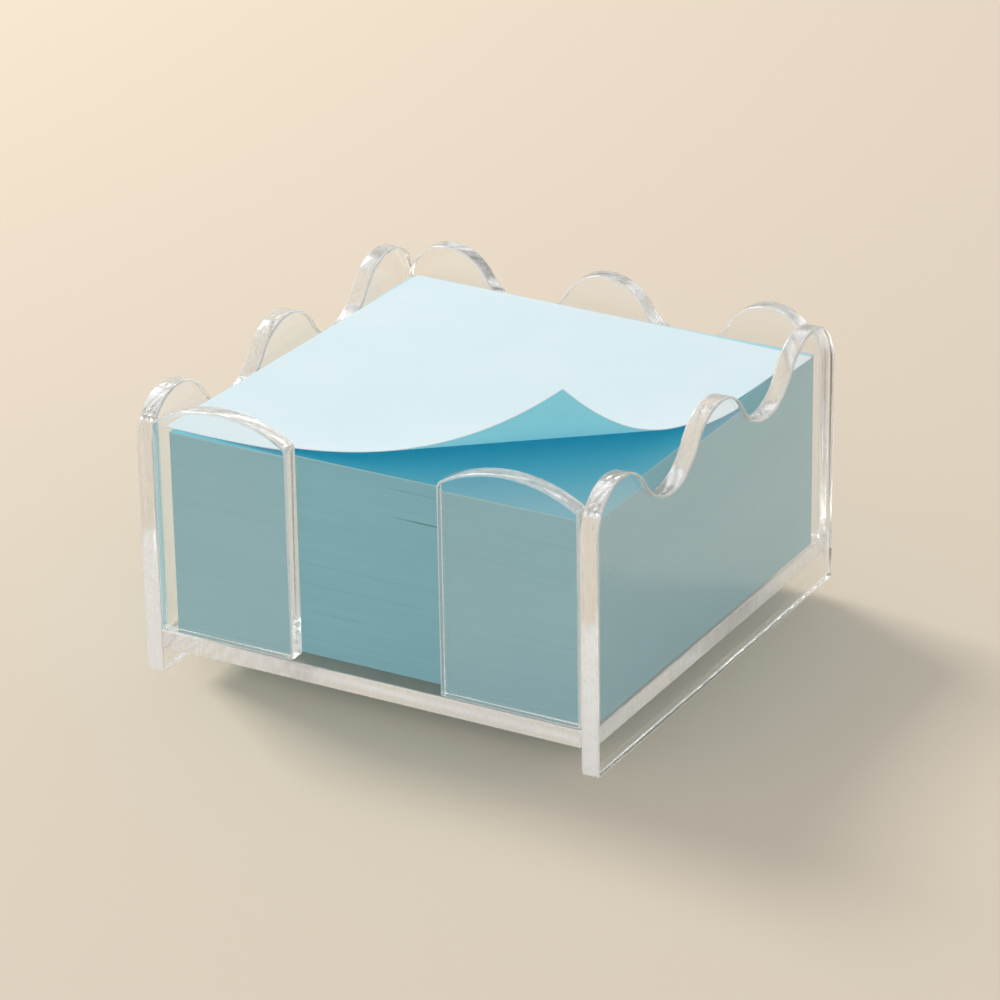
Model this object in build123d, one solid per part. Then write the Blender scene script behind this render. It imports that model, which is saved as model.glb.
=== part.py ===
"""Clear memo pad holder: scalloped walls, split front, note block and a curled top sheet."""
from build123d import *

import os
from math import atan2, cos, degrees, hypot, radians, sin

os.makedirs("parts", exist_ok=True)

# ---------------------------------------------------------------- driving dimensions (mm)
# Clear holder
OUTER_WIDTH = 85.0        # across the two side walls, X
OUTER_DEPTH = 85.0        # front faces to back face, Y
WALL_HEIGHT = 49.0        # table to the top of every hump
ACRYLIC_T = 3.2           # all panels are cut from one thickness
BASE_LIFT = 4.8           # the side walls stand this far below the base plate

# Scalloped top edge
HUMPS = 3                 # humps along each wall
WAVE_DEPTH = 9.2          # hump top to valley bottom
SIDE_END_ROUND = 8.4      # quarter round at both ends of a side wall
BACK_END_ROUND = 8.0      # quarter round at both ends of the back wall

# Front panels with the finger gap between them
FINGER_GAP = 27.6         # clear width between the two panels
ARCH_RISE = 3.7           # rise of each panel's arched top
GAP_CORNER_R = 1.5        # rounded top corner beside the finger gap

# Softened edges of the panels
EDGE_SOFT = 0.35
FOOT_ROUND = 0.8          # lower corners of the side walls

# Note block
BLOCK_HEIGHT = 35.0
BLOCK_GAP_LEFT = 1.8      # clearances to the four walls
BLOCK_GAP_RIGHT = 0.6
BLOCK_GAP_FRONT = 0.6
BLOCK_GAP_BACK = 1.8

# Top sheet, turned a little on the block, its front right corner curled up
PAPER_T = 0.15
SHEET_TURN = 1.9          # clockwise from above, degrees
SHEET_CLEARANCE = 0.15    # turned corners to the side walls
SHEET_FORWARD = 0.7       # sheet centre in front of the pocket centre
FLAT_BACK = 11.5          # right edge that stays flat behind the curl
CURL_ANGLE = 68.0         # slope reached at the curled corner, degrees
CURL_POWER = 1.8          # how late the slope builds up
CURL_STRIPS = 10          # flat strips that make up the curl

# ---------------------------------------------------------------- derived places
x_in = OUTER_WIDTH / 2 - ACRYLIC_T
y_in = OUTER_DEPTH / 2 - ACRYLIC_T
y_front = -OUTER_DEPTH / 2
base_top = BASE_LIFT + ACRYLIC_T
block_top = base_top + BLOCK_HEIGHT


# ---------------------------------------------------------------- clear panels
def arc_between(centre, radius, start, end, top):
    """Arc about centre, through its highest or lowest point."""
    middle = (centre[0], centre[1] + (radius if top else -radius))
    return ThreePointArc(start, middle, end)


def wave_outline(length, bottom, end_round):
    """Face in local X and Y: straight foot and ends, humps and valleys of one radius on top."""
    pitch = (length - 2 * end_round) / (HUMPS - 1)
    quarter = pitch / 4
    radius = (quarter**2 + (WAVE_DEPTH / 2) ** 2) / WAVE_DEPTH
    hump_y = WALL_HEIGHT - radius
    valley_y = WALL_HEIGHT - WAVE_DEPTH + radius
    mid_y = WALL_HEIGHT - WAVE_DEPTH / 2
    left = -length / 2
    first = left + end_round
    last = -first

    slant = sin(radians(45)) * end_round
    low_left = (left, WALL_HEIGHT - end_round)
    on_left = (first - slant, WALL_HEIGHT - end_round + slant)
    low_right = (-left, WALL_HEIGHT - end_round)
    on_right = (last + slant, WALL_HEIGHT - end_round + slant)

    # half of the first hump, from its top down to the mid height
    lean = atan2(quarter, mid_y - hump_y) / 2
    half = (radius * sin(lean), hump_y + radius * cos(lean))

    edges = [Line((left, bottom), low_left)]
    edges.append(ThreePointArc(low_left, on_left, (first, WALL_HEIGHT)))
    edges.append(ThreePointArc((first, WALL_HEIGHT), (first + half[0], half[1]), (first + quarter, mid_y)))
    for i in range(HUMPS - 1):
        valley_x = first + (i + 0.5) * pitch
        start = (valley_x - quarter, mid_y)
        end = (valley_x + quarter, mid_y)
        edges.append(arc_between((valley_x, valley_y), radius, start, end, False))
        if i < HUMPS - 2:
            hump_x = first + (i + 1) * pitch
            edges.append(arc_between((hump_x, hump_y), radius, end, (hump_x + quarter, mid_y), True))
    edges.append(ThreePointArc((last - quarter, mid_y), (last - half[0], half[1]), (last, WALL_HEIGHT)))
    edges.append(ThreePointArc((last, WALL_HEIGHT), on_right, low_right))
    edges.append(Line(low_right, (-left, bottom)))
    edges.append(Line((-left, bottom), (left, bottom)))
    return make_face(Curve() + edges)


def side_wall(side):
    """Full depth wall that stands on the table; side is -1 for left and 1 for right."""
    outline = wave_outline(OUTER_DEPTH, 0, SIDE_END_ROUND)
    feet = outline.vertices().sort_by(Axis.Y)[:2]
    outline = fillet(feet, FOOT_ROUND)
    wall = extrude(Plane.YZ * outline, ACRYLIC_T)
    wall = fillet(wall.edges().filter_by(Axis.X, reverse=True), EDGE_SOFT)
    return Pos(x_in if side > 0 else -OUTER_WIDTH / 2, 0, 0) * wall


def back_wall():
    """Wall between the side walls, standing on the rear of the base plate."""
    outline = wave_outline(2 * x_in, base_top, BACK_END_ROUND)
    wall = extrude(Plane.XZ * outline, ACRYLIC_T)
    rims = wall.edges().filter_by(Axis.Y, reverse=True)
    rims = rims.filter_by(lambda e: e.center().Z > WALL_HEIGHT - BACK_END_ROUND)
    wall = fillet(rims, EDGE_SOFT)
    return Pos(0, OUTER_DEPTH / 2, 0) * wall


def front_panel(side):
    """Arched panel between a side wall and the finger gap, standing on the base plate's front."""
    outer = side * x_in
    inner = side * FINGER_GAP / 2
    shoulder = WALL_HEIGHT - ARCH_RISE
    top = ThreePointArc((outer, shoulder), ((outer + inner) / 2, WALL_HEIGHT), (inner, shoulder))
    rest = Polyline((inner, shoulder), (inner, base_top), (outer, base_top), (outer, shoulder))
    outline = make_face(top + rest)
    corner = outline.vertices().sort_by_distance((inner, shoulder))[0]
    outline = fillet(corner, GAP_CORNER_R)
    panel = extrude(Plane.XZ * outline, -ACRYLIC_T)
    rims = panel.edges().filter_by(Axis.Y, reverse=True)
    rims = rims.filter_by(lambda e: e.center().Z > base_top + EDGE_SOFT)
    rims = rims.filter_by(lambda e: abs(e.center().X) < x_in - EDGE_SOFT)
    panel = fillet(rims, EDGE_SOFT)
    return Pos(0, y_front, 0) * panel


def base_plate():
    """Floor of the holder, glued between the side walls above the table."""
    size = (2 * x_in, OUTER_DEPTH, ACRYLIC_T)
    return Pos(0, 0, BASE_LIFT) * Box(*size, align=(Align.CENTER, Align.CENTER, Align.MIN))


# ---------------------------------------------------------------- paper
def note_block():
    """Square block of sheets that lies in the pocket."""
    x0 = -x_in + BLOCK_GAP_LEFT
    x1 = x_in - BLOCK_GAP_RIGHT
    y0 = -y_in + BLOCK_GAP_FRONT
    y1 = y_in - BLOCK_GAP_BACK
    block = Box(x1 - x0, y1 - y0, BLOCK_HEIGHT, align=(Align.MIN, Align.MIN, Align.MIN))
    return Pos(x0, y0, base_top) * block


def sheet_size():
    """Width and depth of the sheet whose turned corners keep clear of the walls."""
    c = cos(radians(SHEET_TURN))
    s = sin(radians(SHEET_TURN))
    room_x = 2 * (x_in - SHEET_CLEARANCE)
    room_y = 2 * (y_in - SHEET_CLEARANCE)
    scale = c**2 - s**2
    return (room_x * c - room_y * s) / scale, (room_y * c - room_x * s) / scale


def curl_profile(run):
    """Ground run and height at each ruling, the slope building up as a power of the distance."""
    step = run / CURL_STRIPS
    points = [(0.0, 0.0)]
    for i in range(CURL_STRIPS):
        slope = radians(CURL_ANGLE) * ((i + 0.5) / CURL_STRIPS) ** CURL_POWER
        x, z = points[-1]
        points.append((x + step * cos(slope), z + step * sin(slope)))
    return points


def thick(corners):
    """Flat facet thickened straight down."""
    return extrude(make_face(Polyline(*corners, close=True)), PAPER_T, dir=(0, 0, -1))


def top_sheet():
    """Sheet whose rulings all run from the front edge to the right edge, parallel to the fold."""
    width, depth = sheet_size()
    reach = depth - FLAT_BACK
    fold = hypot(width, reach)
    along = Vector(width / fold, reach / fold, 0)
    across = Vector(reach / fold, -width / fold, 0)
    run = width * reach / fold
    front_left = Vector(-width / 2, -depth / 2, 0)
    right_end = Vector(width / 2, -depth / 2 + reach, 0)

    # distance along the fold at which the ruling through the corner would meet it
    foot = along.dot(Vector(width / 2, -depth / 2, 0) - front_left)
    lines = []
    for i, (ground, height) in enumerate(curl_profile(run)):
        share = i / CURL_STRIPS
        lift = across * ground + Vector(0, 0, height)
        start = front_left + along * (foot * share) + lift
        end = front_left + along * (fold + (foot - fold) * share) + lift
        lines.append((start, end))

    back = [Vector(width / 2, depth / 2, 0), Vector(-width / 2, depth / 2, 0)]
    sheet = thick([front_left, right_end] + back)
    for (a, b), (c, d) in zip(lines[:-2], lines[1:-1]):
        sheet += thick([a, b, d, c])
    sheet += thick([lines[-2][0], lines[-2][1], lines[-1][0]])
    return Pos(0, -SHEET_FORWARD, block_top + PAPER_T) * Rot(0, 0, -SHEET_TURN) * sheet


# ---------------------------------------------------------------- write the pieces
pieces = {
    "left_wall": side_wall(-1),
    "right_wall": side_wall(1),
    "back_wall": back_wall(),
    "front_left_panel": front_panel(-1),
    "front_right_panel": front_panel(1),
    "base_plate": base_plate(),
    "memo_block": note_block(),
    "top_sheet": top_sheet(),
}
for name, shape in pieces.items():
    export_step(shape, f"parts/{name}.step")
    box = shape.bounding_box()
    print(name, "low", tuple(round(v, 2) for v in box.min), "high", tuple(round(v, 2) for v in box.max))
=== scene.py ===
"""Looks and light for a clear memo pad holder with a note block and its curled top sheet."""

import logging
import math
from dataclasses import dataclass
from enum import Enum
from typing import Any

import bmesh
import bpy
from mathutils import Matrix, Vector


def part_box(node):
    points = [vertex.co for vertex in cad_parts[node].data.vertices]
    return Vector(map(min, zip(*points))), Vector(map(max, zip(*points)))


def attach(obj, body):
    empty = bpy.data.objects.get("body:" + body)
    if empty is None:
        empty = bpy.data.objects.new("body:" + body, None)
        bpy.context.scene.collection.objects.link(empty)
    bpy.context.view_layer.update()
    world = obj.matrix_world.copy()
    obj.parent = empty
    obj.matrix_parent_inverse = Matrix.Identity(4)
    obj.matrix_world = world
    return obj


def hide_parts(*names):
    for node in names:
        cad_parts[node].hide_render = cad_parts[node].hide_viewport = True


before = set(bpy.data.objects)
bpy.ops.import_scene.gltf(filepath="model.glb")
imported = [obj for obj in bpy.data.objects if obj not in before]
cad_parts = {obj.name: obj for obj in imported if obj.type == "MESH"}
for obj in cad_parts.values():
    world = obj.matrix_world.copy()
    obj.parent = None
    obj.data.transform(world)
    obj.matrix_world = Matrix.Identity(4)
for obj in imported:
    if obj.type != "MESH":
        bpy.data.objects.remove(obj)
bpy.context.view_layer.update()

Socket = bpy.types.NodeSocket
Triple = tuple[float, float, float]
Colour = tuple[float, float, float, float]
Outline = list[tuple[float, float]]

MM = 0.001
WHITE: Colour = (1.0, 1.0, 1.0, 1.0)
ACRYLIC_IOR = 1.49
BEVEL_FROM = math.radians(35)   # edges that bend more than this are softened
SHARP_FROM = math.radians(40)   # edges that bend more than this are shaded as sharp
FRAME_PIXELS = 1000             # width of the picture that the camera's focal length refers to
SENSOR_WIDTH = 36.0             # millimetres
LOG = logging.getLogger("memo_holder")


def srgb(code: str) -> Colour:
    """Turns a colour as it is seen on a screen into the linear colour that a shader takes.

    Args:
        code: six hexadecimal digits.

    Returns:
        Linear red, green, blue and an alpha of 1.
    """
    # the standard curve: straight near black, a power above
    shares = [int(code[i:i + 2], 16) / 255 for i in (0, 2, 4)]
    linear = [s / 12.92 if s <= 0.04045 else ((s + 0.055) / 1.055) ** 2.4 for s in shares]
    return (linear[0], linear[1], linear[2], 1.0)


# ------------------------------------------------------------------------------------------------
# Node helpers
# ------------------------------------------------------------------------------------------------
class NodeGraph:
    """A node tree with short calls to add nodes and wire them up."""

    def __init__(self, tree: bpy.types.NodeTree) -> None:
        """Takes the tree to build in."""
        self.tree = tree
        self.column = 0

    def add(
        self, kind: str, inputs: dict[str | int, Any] | None = None, **settings: Any,
    ) -> bpy.types.Node:
        """Adds a node.

        Args:
            kind: the node's type name.
            inputs: socket name or number to a value, or to the output socket to link from.
            settings: properties of the node itself.

        Returns:
            The new node.
        """
        node = self.tree.nodes.new(kind)
        self.column += 1
        node.location = (180 * (self.column % 12), -220 * (self.column // 12))
        for name, value in settings.items():
            setattr(node, name, value)
        for key, value in (inputs or {}).items():
            self.feed(node.inputs[key], value)
        return node

    def feed(self, socket: Socket, value: Any) -> None:
        """Sets a socket, or links it where the value is another node's output."""
        if isinstance(value, Socket):
            self.tree.links.new(value, socket)
        else:
            socket.default_value = value

    def math(self, operation: str, first: Any, second: Any = 0.0) -> Socket:
        """Returns the result of a Math node."""
        inputs = {0: first, 1: second}
        return self.add("ShaderNodeMath", inputs, operation=operation).outputs[0]


class ShaderGraph(NodeGraph):
    """The node tree of one material."""

    def __init__(self, name: str) -> None:
        """Makes an empty material of that name."""
        self.material = bpy.data.materials.new(name)
        self.material.use_nodes = True
        super().__init__(self.material.node_tree)
        self.tree.nodes.clear()
        self.place = self.add("ShaderNodeTexCoord").outputs["Object"]

    def scaled(self, scale: Triple) -> Socket:
        """Returns object coordinates stretched by scale."""
        return self.add("ShaderNodeMapping", {"Vector": self.place, "Scale": scale}).outputs[0]

    def noise(self, scale: Triple, detail: float = 3.0, rough: float = 0.5) -> Socket:
        """Returns a noise value, with scale in cycles per metre along each axis."""
        inputs = {"Vector": self.scaled(scale), "Scale": 1.0, "Detail": detail, "Roughness": rough}
        return self.add("ShaderNodeTexNoise", inputs).outputs["Fac"]

    def ramp(
        self, value: Any, low: float, high: float, to_low: float = 0.0, to_high: float = 1.0,
    ) -> Socket:
        """Returns value carried from low..high to to_low..to_high, with no overshoot."""
        inputs = {0: value, 1: low, 2: high, 3: to_low, 4: to_high}
        return self.add("ShaderNodeMapRange", inputs).outputs[0]

    def blend(self, share: Any, first: Any, second: Any) -> Socket:
        """Returns a mix of two colours."""
        node = self.add("ShaderNodeMix", data_type="RGBA")
        self.feed(node.inputs[0], share)
        self.feed(node.inputs[6], first)
        self.feed(node.inputs[7], second)
        return node.outputs[2]

    def bump(self, height: Socket, distance: float) -> Socket:
        """Returns a normal bent by a height that is distance metres tall at 1."""
        inputs = {"Height": height, "Distance": distance, "Strength": 1.0}
        return self.add("ShaderNodeBump", inputs).outputs[0]

    def finish(self, surface: Socket) -> bpy.types.Material:
        """Links the surface to the output and returns the material."""
        self.add("ShaderNodeOutputMaterial", {"Surface": surface})
        return self.material


class GeometryGraph(NodeGraph):
    """A geometry node group whose sizes are named inputs."""

    def __init__(self, name: str) -> None:
        """Makes an empty group with a geometry output."""
        self.group = bpy.data.node_groups.new(name, "GeometryNodeTree")
        super().__init__(self.group)
        self.group.interface.new_socket(
            "Geometry", in_out="OUTPUT", socket_type="NodeSocketGeometry",
        )
        self.entry = self.add("NodeGroupInput")
        self.values: dict[str, Any] = {}

    def size(self, name: str, value: Any, kind: str = "NodeSocketFloat") -> Socket:
        """Adds a named input, keeps the value that the piece is to have, and returns the socket."""
        item = self.group.interface.new_socket(name, in_out="INPUT", socket_type=kind)
        self.values[item.identifier] = value
        return self.entry.outputs[name]

    def vector(self, operation: str, first: Any, second: Any = (0.0, 0.0, 0.0)) -> bpy.types.Node:
        """Returns a Vector Math node."""
        return self.add("ShaderNodeVectorMath", {0: first, 1: second}, operation=operation)

    def times(self, vector: Any, factor: Any) -> Socket:
        """Returns a vector scaled by a factor."""
        inputs = {0: vector, "Scale": factor}
        return self.add("ShaderNodeVectorMath", inputs, operation="SCALE").outputs[0]

    def join(self, x: Any, y: Any, z: Any) -> Socket:
        """Returns a vector made of three values."""
        return self.add("ShaderNodeCombineXYZ", {0: x, 1: y, 2: z}).outputs[0]

    def make(
        self, name: str, geometry: Socket, material: bpy.types.Material,
    ) -> bpy.types.Object:
        """Ends the tree, evaluates it once and turns the result into a plain object.

        Args:
            name: name of the piece.
            geometry: what the tree made.
            material: material that the whole piece starts with.

        Returns:
            A mesh object with no modifier, at the origin.
        """
        real = self.add("GeometryNodeRealizeInstances", {"Geometry": geometry}).outputs[0]
        inside = self.size("Material", material, "NodeSocketMaterial")
        dressed = self.add("GeometryNodeSetMaterial", {"Geometry": real, "Material": inside})
        self.add("NodeGroupOutput", {0: dressed.outputs[0]})

        host = bpy.data.objects.new(name, bpy.data.meshes.new(name + "_host"))
        bpy.context.scene.collection.objects.link(host)
        modifier = host.modifiers.new("shape", "NODES")
        modifier.node_group = self.group
        for identifier, value in self.values.items():
            modifier[identifier] = value
        graph = bpy.context.evaluated_depsgraph_get()
        mesh = bpy.data.meshes.new_from_object(host.evaluated_get(graph), depsgraph=graph)
        bpy.data.objects.remove(host)
        mesh.materials.clear()
        mesh.materials.append(material)
        for polygon in mesh.polygons:
            polygon.material_index = 0
        return new_piece(name, mesh)


def new_piece(name: str, mesh: bpy.types.Mesh) -> bpy.types.Object:
    """Links a mesh into the scene as an object at the origin and returns the object."""
    mesh.name = name
    piece = bpy.data.objects.new(name, mesh)
    bpy.context.scene.collection.objects.link(piece)
    return piece


# ------------------------------------------------------------------------------------------------
# Finishes
# ------------------------------------------------------------------------------------------------
class Cut(Enum):
    """How an acrylic surface was made."""

    FACE = "face"
    RIM = "rim"
    EDGE = "edge"
    SAWN = "sawn"


@dataclass(frozen=True)
class AcrylicFinish:
    """Clear acrylic.

    Args:
        cut: sheet face, polished rim, softened edge between them, or rim left as sawn.
        tint: colour that light takes on in passing.
        clear: share of light that goes through, and not into the faint haze.
        rough: roughness of the polish.
        scuff: height of the fine marks in metres.
        worn: share of the clear part that is left near the feet, where a rim is scuffed most.
    """

    cut: Cut
    tint: Colour
    clear: float
    rough: float
    scuff: float
    worn: float = 1.0

    def face(self, g: ShaderGraph, up: Socket) -> tuple[Socket, Socket]:
        """Returns height and clear share of a sheet face, a touch clearer above the notes."""
        height = g.noise((60.0, 60.0, 60.0), 2.0, 0.5)
        patches = g.noise((34.0, 34.0, 34.0), 3.0, 0.55)
        share = g.ramp(patches, 0.3, 0.7, self.clear - 0.02, self.clear + 0.01)
        return height, g.math("ADD", share, g.ramp(up, 28.0 * MM, 40.0 * MM, 0.0, 0.035))

    def sawn(self, g: ShaderGraph) -> tuple[Socket, Socket]:
        """Returns height and clear share of a sawn rim: fine streaks over broad patches."""
        height = g.noise((800.0, 800.0, 260.0), 2.0, 0.5)
        patches = g.noise((75.0, 75.0, 75.0), 3.0, 0.6)
        streaks = g.math("MULTIPLY", height, 0.3)
        both = g.math("ADD", streaks, g.math("MULTIPLY", patches, 0.7))
        return height, g.ramp(both, 0.38, 0.62, self.clear - 0.22, self.clear + 0.22)

    def polished(self, g: ShaderGraph, up: Socket) -> tuple[Socket, Socket]:
        """Returns height and clear share of a polished rim, more scuffed towards the feet."""
        height = g.noise((420.0, 420.0, 160.0), 2.0, 0.5)
        marks = g.noise((520.0, 520.0, 150.0), 4.0, 0.65)
        share = g.ramp(marks, 0.3, 0.7, self.clear - 0.14, self.clear + 0.10)
        return height, g.math("MULTIPLY", share, g.ramp(up, 7.0 * MM, 24.0 * MM, self.worn, 1.0))

    def build(self) -> bpy.types.Material:
        """Returns the material, which lets the lamps light what is behind it."""
        g = ShaderGraph("acrylic_" + self.cut.value)
        up = g.add("ShaderNodeSeparateXYZ", {0: g.place}).outputs[2]
        if self.cut is Cut.FACE:
            height, share = self.face(g, up)
        elif self.cut is Cut.SAWN:
            height, share = self.sawn(g)
        else:
            height, share = self.polished(g, up)
        # the haze lies on the outside only: light that bounces inside the sheet keeps its strength
        inside = g.add("ShaderNodeNewGeometry").outputs["Backfacing"]
        clear = g.add("ShaderNodeBsdfPrincipled", {
            "Base Color": self.tint,
            "Roughness": self.rough,
            "IOR": ACRYLIC_IOR,
            "Transmission Weight": g.math("MAXIMUM", share, inside),
            "Normal": g.bump(height, self.scuff),
        }).outputs[0]
        passing = g.add("ShaderNodeBsdfTransparent", {"Color": self.tint}).outputs[0]
        path = g.add("ShaderNodeLightPath")
        light = g.math("MAXIMUM", path.outputs["Is Shadow Ray"], path.outputs["Is Diffuse Ray"])
        return g.finish(g.add("ShaderNodeMixShader", {0: light, 1: clear, 2: passing}).outputs[0])


@dataclass(frozen=True)
class PaperFinish:
    """Uncoated note paper.

    Args:
        name: name of the material.
        colour: main colour.
        deep: colour of its slightly darker patches.
        fibre: height of the fibres in metres.
        through: share of the look that is light from the sheet's other side.
        glow: colour of that light.
        soaks: whether light that falls on this side reaches the other one.
    """

    name: str
    colour: Colour
    deep: Colour
    fibre: float
    through: float = 0.0
    glow: Colour = WHITE
    soaks: bool = False

    def fibres(self, g: ShaderGraph) -> Socket:
        """Returns the fine noise of the paper's fibres."""
        return g.noise((2200.0, 1500.0, 1800.0), 4.0, 0.6)

    def paper(self, g: ShaderGraph, colour: Any, normal: Any) -> bpy.types.Material:
        """Closes the tree with a matt paper shader of that colour and normal."""
        shader = g.add("ShaderNodeBsdfPrincipled", {
            "Base Color": colour,
            "Roughness": 0.85,
            "Specular IOR Level": 0.2,
            "Sheen Weight": 0.12,
            "Normal": normal,
        }).outputs[0]
        if self.through:
            lit = g.add("ShaderNodeBsdfTranslucent", {"Color": self.glow, "Normal": normal})
            mixed = {0: self.through, 1: shader, 2: lit.outputs[0]}
            shader = g.add("ShaderNodeMixShader", mixed).outputs[0]
        if self.soaks:
            inside = g.add("ShaderNodeNewGeometry").outputs["Backfacing"]
            passed = g.add("ShaderNodeBsdfTranslucent", {"Color": WHITE}).outputs[0]
            shader = g.add("ShaderNodeMixShader", {0: inside, 1: shader, 2: passed}).outputs[0]
        return g.finish(shader)

    def build(self) -> bpy.types.Material:
        """Returns the material for a sheet's face."""
        g = ShaderGraph(self.name)
        patches = g.ramp(g.noise((45.0, 45.0, 45.0), 3.0, 0.5), 0.35, 0.75)
        fibres = self.fibres(g)
        mottled = g.blend(g.ramp(fibres, 0.3, 0.7, 0.0, 0.35), self.colour, self.deep)
        colour = g.blend(g.math("MULTIPLY", patches, 0.5), mottled, self.deep)
        return self.paper(g, colour, g.bump(fibres, self.fibre))


@dataclass(frozen=True)
class ShadedSheetFinish(PaperFinish):
    """The first note of the block, as it looks under the curled sheet.

    It is pale where that sheet lies flat; the curled sheet's shade is painted on it, deep teal in
    its fold and a lighter teal in front.

    Args:
        pale: the paper's own colour, under the flat part.
        towards: level direction from the fold to the loose corner.
        flat_until: how far along it, in metres, the pale paper colour reaches.
        deep_from: how far along it the deep painted shade starts, in the colour given as deep.
        deep_until: how far along it the deep painted shade reaches.
        plain_from: how far along it the front's lighter painted shade starts.
    """

    pale: Colour = (0.7, 0.85, 0.9, 1.0)
    towards: tuple[float, float] = (0.6213, -0.7836)
    flat_until: float = -20.0 * MM
    deep_from: float = 14.0 * MM
    deep_until: float = 24.0 * MM
    plain_from: float = 48.0 * MM

    def build(self) -> bpy.types.Material:
        """Returns the material."""
        g = ShaderGraph(self.name)
        axes = g.add("ShaderNodeSeparateXYZ", {0: g.place})
        along = g.math("MULTIPLY", axes.outputs[0], self.towards[0])
        along = g.math("ADD", along, g.math("MULTIPLY", axes.outputs[1], self.towards[1]))
        fibres = self.fibres(g)
        # painted shade of the curled sheet: deep teal in its fold, lightening to a paler painted
        # teal at the front corner
        colour = g.blend(g.ramp(along, self.deep_until, self.plain_from), self.deep, self.colour)
        # the paper's own pale colour where the sheet lies flat, blending into the painted shade
        colour = g.blend(g.ramp(along, self.flat_until, self.deep_from), self.pale, colour)
        colour = g.blend(g.ramp(fibres, 0.3, 0.7, 0.0, 0.12), colour, self.colour)
        return self.paper(g, colour, g.bump(fibres, self.fibre))


@dataclass(frozen=True)
class Parting:
    """A place where the stack gapes a little.

    Args:
        height: its height in metres.
        start: its left end along the front in metres.
        end: its right end.
        depth: how dark its painted shade is, from 0 to 1.
    """

    height: float
    start: float
    end: float
    depth: float


@dataclass(frozen=True)
class CutStackFinish(PaperFinish):
    """The guillotined sides of a stack of note paper.

    Args:
        pitch: distance between the lines that show in metres.
        top: height in metres above which the edge of the first notes catches the light.
        crest: colour of that edge.
        partings: where the stack gapes a little, painted as short dark lines of shade.
        gape: colour of the painted shade inside a parting.
        front: depth in metres from which the front starts; partings show only in front of it.
        fade_in: how far a parting takes to open at its left end.
        fade_out: how far it takes to close at its right end.
    """

    pitch: float = 0.25 * MM
    top: float = 42.7 * MM
    crest: Colour = (0.4, 0.7, 0.8, 1.0)
    partings: tuple[Parting, ...] = ()
    # painted shade inside a parting
    gape: Colour = srgb("2E5A63")
    front: float = -36.0 * MM
    fade_in: float = 5.0 * MM
    fade_out: float = 2.0 * MM

    def parting(
        self, g: ShaderGraph, gap: Parting, level: Socket, front: Socket, x: Socket,
    ) -> Socket:
        """Draws one parting.

        Args:
            g: the material's graph.
            gap: the parting.
            level: height, with a slight wander.
            front: 1 on the front and 0 elsewhere.
            x: place across the front.

        Returns:
            How much of the parting shows, from 0 to 1.
        """
        # a parting is painted shade: a thin dark line at its height
        off = g.math("ABSOLUTE", g.math("SUBTRACT", level, gap.height))
        near = g.ramp(off, 0.04 * MM, 0.15 * MM, 1.0, 0.0)
        after = g.math("MULTIPLY", front, g.ramp(x, gap.start, gap.start + self.fade_in))
        before = g.ramp(x, gap.end - self.fade_out, gap.end, 1.0, 0.0)
        return g.math("MULTIPLY", g.math("MULTIPLY", near, after), before)

    def build(self) -> bpy.types.Material:
        """Returns the material, with level streaks and a few short dark partings."""
        g = ShaderGraph(self.name)
        streaks = g.noise((45.0, 45.0, 0.5 / self.pitch), 4.0, 0.65)
        bands = g.noise((9.0, 9.0, 260.0), 3.0, 0.6)
        patches = g.noise((30.0, 30.0, 30.0), 2.0, 0.5)
        colour = g.blend(g.ramp(streaks, 0.3, 0.7, 0.0, 0.4), self.colour, self.deep)
        colour = g.blend(g.ramp(bands, 0.5, 0.75, 0.0, 0.2), colour, self.deep)
        colour = g.blend(g.ramp(patches, 0.35, 0.7, 0.0, 0.3), colour, self.deep)
        axes = g.add("ShaderNodeSeparateXYZ", {0: g.place})
        wander = g.math("SUBTRACT", g.noise((70.0, 70.0, 0.0)), 0.5)
        level = g.math("ADD", axes.outputs[2], g.math("MULTIPLY", wander, 0.5 * MM))
        front = g.ramp(axes.outputs[1], self.front, self.front + 1.0 * MM, 1.0, 0.0)
        # painted shade of the partings, as dark lines in the gaps between sheets
        for gap in self.partings:
            mark = self.parting(g, gap, level, front, axes.outputs[0])
            colour = g.blend(g.math("MULTIPLY", mark, gap.depth), colour, self.gape)
        lit = g.ramp(axes.outputs[2], self.top, self.top + 0.2 * MM, 0.0, 0.6)
        colour = g.blend(lit, colour, self.crest)
        return self.paper(g, colour, g.bump(streaks, self.fibre))


@dataclass(frozen=True)
class FloorFinish:
    """Plain pale floor."""

    colour: Colour

    def build(self) -> bpy.types.Material:
        """Returns the floor's material."""
        g = ShaderGraph("floor")
        matt = {"Base Color": self.colour, "Roughness": 0.7, "Specular IOR Level": 0.2}
        return g.finish(g.add("ShaderNodeBsdfPrincipled", matt).outputs[0])


# ------------------------------------------------------------------------------------------------
# Acrylic holder
# ------------------------------------------------------------------------------------------------
def arc(
    centre: tuple[float, float], radius: float, start: float, end: float, steps: int,
) -> Outline:
    """Points on an arc.

    Args:
        centre: centre of the arc.
        radius: its radius.
        start: first angle in degrees, counter-clockwise from the first axis.
        end: last angle in degrees.
        steps: number of chords.

    Returns:
        Points from start to end, both included.
    """
    turns = [math.radians(start + (end - start) * i / steps) for i in range(steps + 1)]
    return [(centre[0] + radius * math.cos(t), centre[1] + radius * math.sin(t)) for t in turns]


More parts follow.
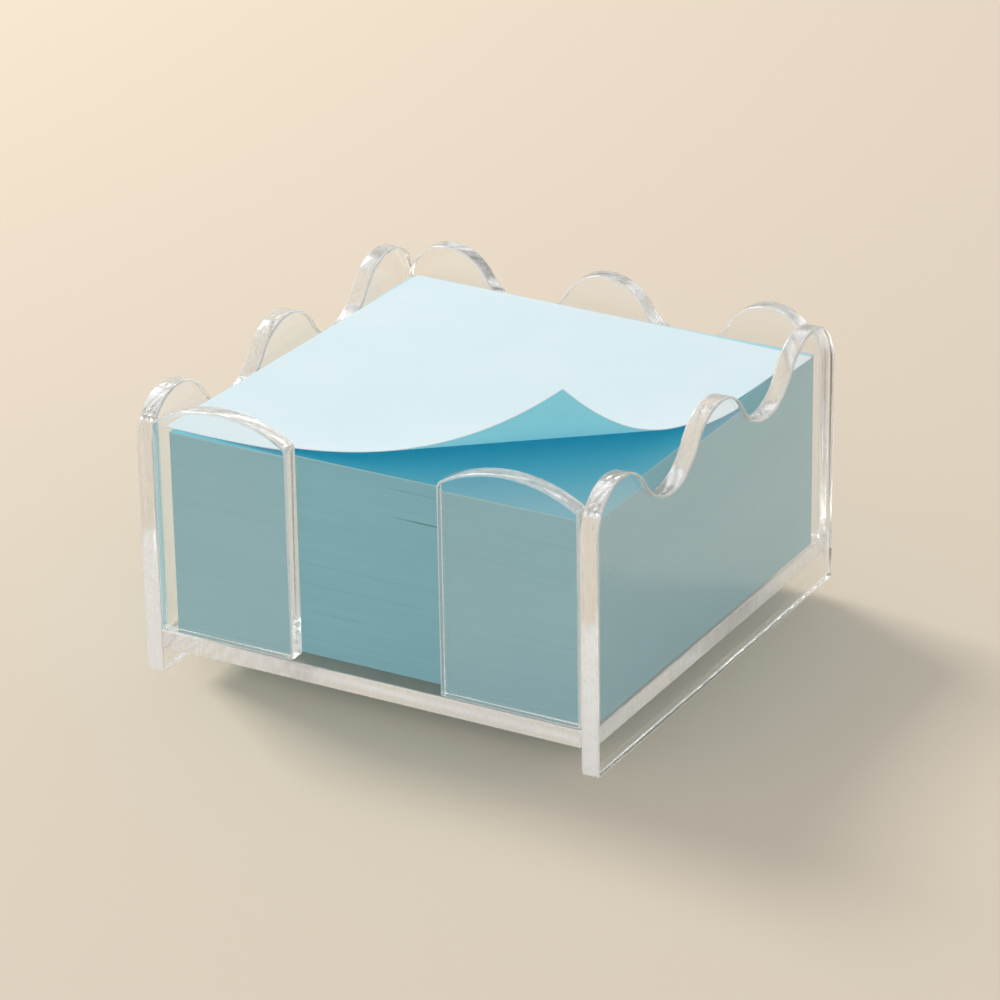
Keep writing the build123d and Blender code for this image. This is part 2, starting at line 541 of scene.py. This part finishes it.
@dataclass
class ScallopedTop:
    """The scalloped outline of a wall, with humps and valleys of one radius on top.

    Args:
        length: length of the wall.
        low: height of its foot.
        high: height of its humps.
        end_round: radius of the round at both ends of the top.
        foot_round: radius of the lower corners, or 0 for sharp ones.
        humps: number of humps.
        depth: height from a valley to a hump.
        foot_chords: chords in a lower corner.
        end_chords: chords in an end round.
        half_chords: chords in half a hump.
        full_chords: chords in a whole hump or valley.
    """

    length: float
    low: float
    high: float
    end_round: float
    foot_round: float
    humps: int = 3
    depth: float = 9.2 * MM
    foot_chords: int = 5
    end_chords: int = 22
    half_chords: int = 16
    full_chords: int = 30

    def outline(self) -> Outline:
        """Returns the closed outline, counter-clockwise, along the wall and up."""
        pitch = (self.length - 2 * self.end_round) / (self.humps - 1)
        quarter = pitch / 4
        radius = (quarter**2 + (self.depth / 2) ** 2) / self.depth
        lean = math.degrees(math.asin(quarter / radius))
        half = self.length / 2
        first = half - self.end_round
        shoulder = (half - self.end_round, self.high - self.end_round)
        foot = (half - self.foot_round, self.low + self.foot_round)
        points: Outline = []
        if self.foot_round > 0:
            points += arc((-foot[0], foot[1]), self.foot_round, 180, 270, self.foot_chords)
            points += arc(foot, self.foot_round, 270, 360, self.foot_chords)
        else:
            points += [(-half, self.low), (half, self.low)]
        points += arc(shoulder, self.end_round, 0, 90, self.end_chords)[:-1]
        crest = (first, self.high - radius)
        points += arc(crest, radius, 90, 90 + lean, self.half_chords)[:-1]
        for i in range(self.humps - 1):
            valley = (first - (i + 0.5) * pitch, self.high - self.depth + radius)
            points += arc(valley, radius, 270 + lean, 270 - lean, self.full_chords)[:-1]
            if i < self.humps - 2:
                crest = (first - (i + 1) * pitch, self.high - radius)
                points += arc(crest, radius, 90 - lean, 90 + lean, self.full_chords)[:-1]
        crest = (-first, self.high - radius)
        points += arc(crest, radius, 90 - lean, 90, self.half_chords)[:-1]
        points += arc((-shoulder[0], shoulder[1]), self.end_round, 90, 180, self.end_chords)
        return points


@dataclass
class ArchedTop:
    """The outline of a front panel: a flat arch on top, with a small round at the finger gap.

    Args:
        outer: place of its upright edge at the side wall.
        inner: place of its upright edge at the finger gap.
        low: height of its foot.
        high: height of the arch.
        rise: rise of the arch.
        corner: radius of the small round.
        corner_chords: chords in the small round.
        arch_chords: chords in the arch.
    """

    outer: float
    inner: float
    low: float
    high: float
    rise: float = 3.7 * MM
    corner: float = 1.5 * MM
    corner_chords: int = 8
    arch_chords: int = 40

    def outline(self) -> Outline:
        """Returns the closed outline, counter-clockwise, along the front and up."""
        half = abs(self.outer - self.inner) / 2
        middle = (self.outer + self.inner) / 2
        radius = (half**2 + self.rise**2) / (2 * self.rise)
        centre = self.high - radius
        # the small round touches the arch from inside and the upright edge
        round_x = half - self.corner
        round_y = centre + math.sqrt((radius - self.corner) ** 2 - round_x**2)
        touch = math.degrees(math.atan2(round_y - centre, round_x))
        start = math.degrees(math.atan2(self.high - self.rise - centre, half))
        points = [(-half, self.low), (half, self.low)]
        points += arc((round_x, round_y), self.corner, 0, touch, self.corner_chords)
        points += arc((0.0, centre), radius, touch, 180 - start, self.arch_chords)[1:]
        if self.inner < self.outer:
            points = [(-x, y) for x, y in reversed(points)]
        return [(x + middle, y) for x, y in points]


class Lie(Enum):
    """Which way a panel's faces look."""

    SIDEWAYS = "sideways"
    FRONTWAYS = "frontways"
    LEVEL = "level"


@dataclass
class AcrylicPanel:
    """One panel of the holder.

    Args:
        node: CAD node that it stands for.
        outline: outline in metres, counter-clockwise as seen against its thickness direction.
        lie: which way its faces look.
        near: where it starts along its thickness.
        thickness: thickness of the sheet.
        soft: radius of its softened edges.
    """

    node: str
    outline: Outline
    lie: Lie
    near: float
    thickness: float
    soft: float = 0.4 * MM

    def spot(self, along: float, up: float, through: float) -> Vector:
        """Returns the place of a point of the panel in the row frame."""
        if self.lie is Lie.SIDEWAYS:
            return Vector((through, along, up))
        if self.lie is Lie.FRONTWAYS:
            return Vector((along, through, up))
        return Vector((along, up, through))

    def build(self, finishes: list[bpy.types.Material]) -> bpy.types.Object:
        """Makes the panel and rides it on the holder.

        Args:
            finishes: materials of the two sheet faces, of the rim and of the softened edges.

        Returns:
            The finished piece.
        """
        mesh = bpy.data.meshes.new(self.node)
        work = bmesh.new()
        far = self.near + self.thickness
        lower = [work.verts.new(self.spot(a, u, self.near)) for a, u in self.outline]
        upper = [work.verts.new(self.spot(a, u, far)) for a, u in self.outline]
        count = len(lower)
        work.faces.new(list(reversed(lower)))
        work.faces.new(upper)
        for i in range(count):
            j = (i + 1) % count
            work.faces.new([lower[i], lower[j], upper[j], upper[i]]).material_index = 1
        bmesh.ops.recalc_face_normals(work, faces=work.faces)
        rims = [e for e in work.edges if e.calc_face_angle(0.0) > BEVEL_FROM]
        bmesh.ops.bevel(
            work, geom=rims, offset=self.soft, segments=3, profile=0.5,
            affect="EDGES", clamp_overlap=True, material=2,
        )
        widest = sorted(work.faces, key=lambda f: f.calc_area(), reverse=True)[:2]
        for f in work.faces:
            f.smooth = f not in widest
            f.material_index = 0 if f in widest else f.material_index
        for f in widest:
            for e in f.edges:
                e.smooth = False
        for e in work.edges:
            if e.calc_face_angle(0.0) > SHARP_FROM:
                e.smooth = False
        work.to_mesh(mesh)
        work.free()
        for finish in finishes:
            mesh.materials.append(finish)
        piece = new_piece("acrylic_" + self.node, mesh)
        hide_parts(self.node)
        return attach(piece, "holder")


@dataclass
class ClearHolder:
    """The whole acrylic holder, its panels placed by the frame.

    Args:
        side_round: radius at the ends of a side wall's top.
        back_round: radius at the ends of the back wall's top.
        foot_round: radius of the side walls' lower corners.
        seam: how far a bonded panel stays short of its neighbour.
        base_soft: radius of the base plate's softened edges.
    """

    side_round: float = 8.4 * MM
    back_round: float = 8.0 * MM
    foot_round: float = 0.8 * MM
    seam: float = 0.03 * MM
    base_soft: float = 0.25 * MM

    def wall(self, node: str) -> AcrylicPanel:
        """Returns a full depth side wall."""
        low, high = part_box(node)
        top = ScallopedTop(high.y - low.y, low.z, high.z, self.side_round, self.foot_round)
        return AcrylicPanel(node, top.outline(), Lie.SIDEWAYS, low.x, high.x - low.x)

    def back(self) -> AcrylicPanel:
        """Returns the back wall, a hair short of the walls and the plate that it is bonded to."""
        low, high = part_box("back_wall")
        length = high.x - low.x - 2 * self.seam
        top = ScallopedTop(length, low.z + self.seam, high.z, self.back_round, 0.0)
        return AcrylicPanel("back_wall", top.outline(), Lie.FRONTWAYS, low.y, high.y - low.y)

    def front(self, node: str, side: int) -> AcrylicPanel:
        """Returns a front panel; side is -1 for left and 1 for right."""
        low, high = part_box(node)
        outer, inner = (low.x + self.seam, high.x) if side < 0 else (high.x - self.seam, low.x)
        top = ArchedTop(outer, inner, low.z + self.seam, high.z)
        return AcrylicPanel(node, top.outline(), Lie.FRONTWAYS, low.y, high.y - low.y)

    def base(self) -> AcrylicPanel:
        """Returns the base plate between the side walls."""
        low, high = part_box("base_plate")
        x = high.x - self.seam
        corners = [(-x, low.y), (x, low.y), (x, high.y), (-x, high.y)]
        thickness = high.z - low.z
        return AcrylicPanel("base_plate", corners, Lie.LEVEL, low.z, thickness, self.base_soft)

    def build(self) -> list[bpy.types.Object]:
        """Makes every panel and returns the pieces."""
        tint = srgb("FEFEFE")
        face = AcrylicFinish(Cut.FACE, tint, 0.95, 0.0, 0.0002 * MM).build()
        rim = AcrylicFinish(Cut.RIM, tint, 0.85, 0.10, 0.0016 * MM, 0.72).build()
        edge = AcrylicFinish(Cut.EDGE, tint, 0.55, 0.12, 0.0012 * MM, 0.80).build()
        sawn = AcrylicFinish(Cut.SAWN, tint, 0.46, 0.12, 0.0015 * MM).build()
        panels = [self.wall("left_wall"), self.wall("right_wall"), self.back()]
        panels += [self.front("front_left_panel", -1), self.front("front_right_panel", 1)]
        pieces = [panel.build([face, rim, edge]) for panel in panels]
        return pieces + [self.base().build([face, sawn, edge])]


# ------------------------------------------------------------------------------------------------
# Paper
# ------------------------------------------------------------------------------------------------
@dataclass
class NoteStack:
    """The block of cut sheets.

    Args:
        pitch: thickness of a layer of sheets.
        slip: how far a layer may lie out of line.
        lift: gap under the block.
        crest: height of the edge at the top that catches the light.
        seed: seed of the slip.
        partings: where the front gapes a little, shown as painted dark lines of shade.
    """

    pitch: float = 0.25 * MM
    slip: float = 0.02 * MM
    lift: float = 0.05 * MM
    crest: float = 0.3 * MM
    seed: int = 7
    partings: tuple[Parting, ...] = (
        Parting(35.8 * MM, 3.0 * MM, 14.5 * MM, 0.65),
        Parting(40.7 * MM, 0.5 * MM, 12.5 * MM, 0.2),
        Parting(15.7 * MM, -13.5 * MM, -1.0 * MM, 0.15),
    )

    def build(self) -> bpy.types.Object:
        """Stacks the sheets with geometry nodes and rides the block on its body.

        Returns:
            The finished piece.
        """
        low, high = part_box("memo_block")
        height = high.z - low.z - self.lift
        count = round(height / self.pitch)
        # the sides' teal is darker than the paper of the top: partly the paper's tone, partly
        # painted shade
        sides = CutStackFinish(
            "block_sides", srgb("9ACFDC"), srgb("8AC2CF"), 0.03 * MM, pitch=self.pitch,
            top=high.z - self.crest, crest=srgb("B9E4EF"), partings=self.partings,
        ).build()
        # the block's top: pale paper with the curled sheet's shade painted on in teal, deepest in
        # the fold
        top = ShadedSheetFinish(
            "block_top", srgb("92D4E1"), srgb("2CB6CE"), 0.004 * MM, pale=srgb("C8E6EE"),
        ).build()

        g = GeometryGraph("note_stack")
        width = g.size("Width", high.x - low.x - 2 * self.slip)
        depth = g.size("Depth", high.y - low.y - 2 * self.slip)
        thick = g.size("Sheet Thickness", height / count)
        slip = g.size("Slip", self.slip)
        number = g.size("Sheets", count, "NodeSocketInt")
        seed = g.size("Seed", self.seed, "NodeSocketInt")
        line = g.add("GeometryNodeMeshLine", {"Count": number, "Offset": g.join(0.0, 0.0, thick)})
        sheet = g.add("GeometryNodeMeshCube", {"Size": g.join(width, depth, thick)})
        spread = g.join(slip, slip, 0.0)
        back = g.times(spread, -1.0)
        limits = {0: back, 1: spread, "Seed": seed}
        stray = g.add("FunctionNodeRandomValue", limits, data_type="FLOAT_VECTOR").outputs[0]
        moved = g.add("GeometryNodeSetPosition", {"Geometry": line.outputs[0], "Offset": stray})
        filled = {"Points": moved.outputs[0], "Instance": sheet.outputs[0]}
        copies = g.add("GeometryNodeInstanceOnPoints", filled)
        piece = g.make("note_block", copies.outputs[0], sides)

        centre = (low + high) / 2
        first = low.z + self.lift + height / count / 2
        piece.data.transform(Matrix.Translation((centre.x, centre.y, first)))
        piece.data.materials.append(top)
        for polygon in piece.data.polygons:
            if polygon.normal.z > 0.9 and polygon.center.z > high.z - 0.01 * MM:
                polygon.material_index = 1
        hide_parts("memo_block")
        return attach(piece, "memo_pad")


@dataclass
class CurledSheet:
    """The loose top sheet, rolled up towards its front right corner along parallel rulings.

    Args:
        side: side of the square sheet.
        thickness: thickness of the paper.
        turn: turn clockwise from above in degrees.
        forward: how far its centre lies in front of the pocket's.
        flat_back: length of the right edge that stays flat at the back.
        angle: slope reached at the corner in degrees.
        power: how late the slope builds up.
        lines: steps of the roll's profile.
        points: points of the sheet along each side.
    """

    side: float = 75.83 * MM
    thickness: float = 0.13 * MM
    turn: float = 1.9
    forward: float = 0.7 * MM
    flat_back: float = 11.5 * MM
    angle: float = 68.0
    power: float = 1.8
    lines: int = 96
    points: int = 121

    def build(self) -> bpy.types.Object:
        """Rolls the sheet with geometry nodes, gives it its two faces and rides it on its body.

        Returns:
            The finished piece.
        """
        over = PaperFinish(
            "sheet_top", srgb("E2F3F9"), srgb("D6EDF5"), 0.003 * MM, soaks=True,
        ).build()
        # the underside's darker teal against the pale top is partly painted shade of the same
        # paper; the light shining through it is real translucency
        under = PaperFinish(
            "sheet_underside", srgb("88C8D8"), srgb("6BB0C3"), 0.006 * MM,
            through=0.38, glow=(0.27, 0.76, 0.93, 1.0),
        ).build()

        g = GeometryGraph("curled_sheet")
        width = g.size("Width", self.side)
        depth = g.size("Depth", self.side)
        flat = g.size("Flat Back", self.flat_back)
        angle = g.size("Curl Angle", math.radians(self.angle))
        power = g.size("Curl Power", self.power)
        lines = g.size("Lines", self.lines, "NodeSocketInt")

        reach = g.math("SUBTRACT", depth, flat)
        squares = g.math("ADD", g.math("MULTIPLY", width, width), g.math("MULTIPLY", reach, reach))
        fold = g.math("SQRT", squares)
        run = g.math("DIVIDE", g.math("MULTIPLY", width, reach), fold)
        along = g.join(g.math("DIVIDE", width, fold), g.math("DIVIDE", reach, fold), 0.0)
        fall = g.math("DIVIDE", g.math("MULTIPLY", width, -1.0), fold)
        across = g.join(g.math("DIVIDE", reach, fold), fall, 0.0)
        corner = g.join(g.math("MULTIPLY", width, -0.5), g.math("MULTIPLY", depth, -0.5), 0.0)

        # the roll's profile: equal steps whose slope builds up as a power of the distance
        step = g.math("DIVIDE", run, lines)
        place = g.add("GeometryNodeInputIndex").outputs[0]
        share = g.math("DIVIDE", g.math("ADD", place, 0.5), lines)
        slope = g.math("MULTIPLY", angle, g.math("POWER", share, power))
        level = g.math("MULTIPLY", step, g.math("COSINE", slope))
        stride = g.join(level, 0.0, g.math("MULTIPLY", step, g.math("SINE", slope)))
        total = g.add("GeometryNodeAccumulateField", data_type="FLOAT_VECTOR")
        g.feed(total.inputs[0], stride)
        dots = g.add("GeometryNodeMeshLine", {"Count": g.math("ADD", lines, 1.0)})
        traced = {"Geometry": dots.outputs[0], "Position": total.outputs["Trailing"]}
        profile = g.add("GeometryNodeSetPosition", traced)
        curve = g.add("GeometryNodeMeshToCurve", {"Mesh": profile.outputs[0]}).outputs[0]

        plain = {"Size X": width, "Size Y": depth}
        plain |= {"Vertices X": self.points, "Vertices Y": self.points}
        grid = g.add("GeometryNodeMeshGrid", plain)
        spot = g.add("GeometryNodeInputPosition").outputs[0]
        here = g.vector("SUBTRACT", spot, corner).outputs[0]
        beyond = g.vector("DOT_PRODUCT", here, across).outputs["Value"]
        sideways = g.vector("DOT_PRODUCT", here, along).outputs["Value"]
        rolled = g.add("GeometryNodeSampleCurve", {"Curves": curve}, mode="LENGTH")
        g.feed(rolled.inputs["Length"], g.math("MAXIMUM", beyond, 0.0))
        parts = g.add("ShaderNodeSeparateXYZ", {0: rolled.outputs["Position"]})
        raised = g.join(0.0, 0.0, parts.outputs[2])
        rise = g.vector("ADD", g.times(across, parts.outputs[0]), raised).outputs[0]
        edge = g.vector("ADD", corner, g.times(along, sideways)).outputs[0]
        bent = g.vector("ADD", edge, rise).outputs[0]
        chosen = g.add(
            "FunctionNodeCompare", {0: beyond, 1: 0.0}, data_type="FLOAT", operation="GREATER_THAN",
        ).outputs[0]
        moves = {"Geometry": grid.outputs[0], "Selection": chosen, "Position": bent}
        sheet = g.add("GeometryNodeSetPosition", moves)
        piece = g.make("curled_top_sheet", sheet.outputs[0], over)
        self.thicken(piece, under)

        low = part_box("top_sheet")[0].z
        turned = Matrix.Rotation(math.radians(-self.turn), 4, "Z")
        piece.data.transform(Matrix.Translation((0.0, -self.forward, low)) @ turned)
        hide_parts("top_sheet")
        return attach(piece, "top_sheet")

    def thicken(self, piece: bpy.types.Object, under: bpy.types.Material) -> None:
        """Gives the sheet its thickness, straight up, and its underside a material of its own.

        Args:
            piece: the rolled sheet with no thickness.
            under: material of the underside.
        """
        work = bmesh.new()
        work.from_mesh(piece.data)
        for f in work.faces:
            if f.normal.z < 0:
                f.normal_flip()
        made = bmesh.ops.extrude_face_region(work, geom=work.faces[:], use_keep_orig=True)
        raised = [v for v in made["geom"] if isinstance(v, bmesh.types.BMVert)]
        bmesh.ops.translate(work, verts=raised, vec=(0.0, 0.0, self.thickness))
        bmesh.ops.recalc_face_normals(work, faces=work.faces[:])
        piece.data.materials.append(under)
        for f in work.faces:
            f.smooth = True
            f.material_index = 1 if f.normal.z < -0.05 else 0
        for e in work.edges:
            e.smooth = e.calc_face_angle(0.0) < SHARP_FROM
        work.to_mesh(piece.data)
        work.free()


# ------------------------------------------------------------------------------------------------
# Studio
# ------------------------------------------------------------------------------------------------
@dataclass
class Studio:
    """Camera, floor, lamps and surroundings.

    Args:
        eye: place of the camera in metres.
        heading: turn of the camera from +Y in degrees, counter-clockwise from above.
        pitch: how far it tips down in degrees.
        roll: how far it leans in degrees.
        focal: focal length in pixels of the picture.
        reach: half the side of the floor in metres.
        below: how far the floor lies under the holder's feet.
        aim: what the lamps look at.
    """

    eye: Triple = (0.34703, -0.60565, 0.33563)
    heading: float = 29.729
    pitch: float = 24.149
    roll: float = -0.871
    focal: float = 4577.4
    reach: float = 4.0
    below: float = 0.05 * MM
    aim: Triple = (0.0, 0.0, 0.03)

    def camera(self) -> None:
        """Places the camera: turned from +Y by heading, tipped down by pitch, then rolled."""
        h, p, r = (math.radians(v) for v in (self.heading, self.pitch, self.roll))
        forward = Vector((-math.sin(h) * math.cos(p), math.cos(h) * math.cos(p), -math.sin(p)))
        level = Vector((math.cos(h), math.sin(h), 0.0))
        upright = level.cross(forward)
        lean = math.asin(math.sin(r) / math.cos(p))
        right = level * math.cos(lean) + upright * math.sin(lean)
        up = right.cross(forward)
        data = bpy.data.cameras.new("camera")
        data.sensor_width = SENSOR_WIDTH
        data.lens = self.focal / FRAME_PIXELS * SENSOR_WIDTH
        data.clip_start, data.clip_end = 0.01, 20.0
        camera = bpy.data.objects.new("camera", data)
        turn = Matrix((right, up, -forward)).transposed().to_4x4()
        camera.matrix_world = Matrix.Translation(self.eye) @ turn
        bpy.context.scene.collection.objects.link(camera)
        bpy.context.scene.camera = camera

    def floor(self) -> None:
        """Lays the floor a hair under the holder's feet."""
        mesh = bpy.data.meshes.new("floor")
        signs = ((-1, -1), (1, -1), (1, 1), (-1, 1))
        corners = [(x * self.reach, y * self.reach, -self.below) for x, y in signs]
        mesh.from_pydata(corners, [], [(0, 1, 2, 3)])
        mesh.materials.append(FloorFinish(srgb("E4D6C3")).build())
        floor = new_piece("floor", mesh)

    def lamp(
        self, name: str, towards: Triple, away: float, size: float, power: float, colour: Colour,
    ) -> None:
        """Hangs a square soft lamp that looks at the object.

        Args:
            name: name of the lamp.
            towards: direction from the object to the lamp.
            away: distance in metres.
            size: side of the lamp in metres.
            power: power in watts.
            colour: colour of its light.
        """
        data = bpy.data.lights.new(name, "AREA")
        data.shape = "SQUARE"
        data.size = size
        data.energy = power
        data.color = colour[:3]
        lamp = bpy.data.objects.new(name, data)
        direction = Vector(towards).normalized()
        lamp.location = Vector(self.aim) + direction * away
        lamp.rotation_mode = "QUATERNION"
        lamp.rotation_quaternion = direction.to_track_quat("Z", "Y")
        bpy.context.scene.collection.objects.link(lamp)

    def sky(self) -> None:
        """Makes pale surroundings, brighter overhead than at the sides."""
        world = bpy.data.worlds.new("studio")
        bpy.context.scene.world = world
        world.use_nodes = True
        g = NodeGraph(world.node_tree)
        g.tree.nodes.clear()
        ray = g.add("ShaderNodeTexCoord").outputs["Generated"]
        height = g.add("ShaderNodeSeparateXYZ", {0: ray}).outputs[2]
        # from just under the horizon to nearly overhead
        share = g.add("ShaderNodeMapRange", {0: height, 1: -0.1, 2: 0.9, 3: 0.0, 4: 1.0}).outputs[0]
        tone = g.add("ShaderNodeMix", data_type="RGBA")
        g.feed(tone.inputs[0], share)
        g.feed(tone.inputs[6], (0.66, 0.66, 0.66, 1.0))
        g.feed(tone.inputs[7], (0.80, 0.82, 0.84, 1.0))
        dimmed = {"Color": tone.outputs[2], "Strength": 0.72}
        light = g.add("ShaderNodeBackground", dimmed).outputs[0]
        pale = g.add("ShaderNodeBackground", {"Color": srgb("E6E3DE"), "Strength": 1.0}).outputs[0]
        path = g.add("ShaderNodeLightPath")
        seen = g.math("MAXIMUM", path.outputs["Is Camera Ray"], path.outputs["Is Glossy Ray"])
        seen = g.math("MAXIMUM", seen, path.outputs["Is Transmission Ray"])
        either = g.add("ShaderNodeMixShader", {0: seen, 1: light, 2: pale}).outputs[0]
        g.add("ShaderNodeOutputWorld", {"Surface": either})

    def build(self) -> None:
        """Sets up everything around the object."""
        self.camera()
        self.floor()
        self.sky()
        self.lamp("key", (-0.69, 0.28, 0.67), 1.1, 0.32, 6.6, srgb("FFFAF2"))
        self.lamp("fill", (0.55, -0.75, 0.6), 1.4, 0.9, 2.4, srgb("F8FAFF"))
        scene = bpy.context.scene
        scene.view_settings.view_transform = "Standard"
        # light runs along inside the acrylic for many reflections before it leaves at a rim
        scene.cycles.max_bounces = 32
        scene.cycles.diffuse_bounces = 8
        scene.cycles.glossy_bounces = 28
        scene.cycles.transmission_bounces = 28
        scene.cycles.transparent_max_bounces = 32


def main() -> None:
    """Builds the holder, the paper and the studio in order."""
    logging.basicConfig(level=logging.INFO, format="%(name)s: %(message)s")
    pieces = ClearHolder().build()
    pieces.append(NoteStack().build())
    pieces.append(CurledSheet().build())
    for piece in pieces:
        LOG.info("%s: %d faces", piece.name, len(piece.data.polygons))
    Studio().build()


if __name__ == "__main__":
    main()
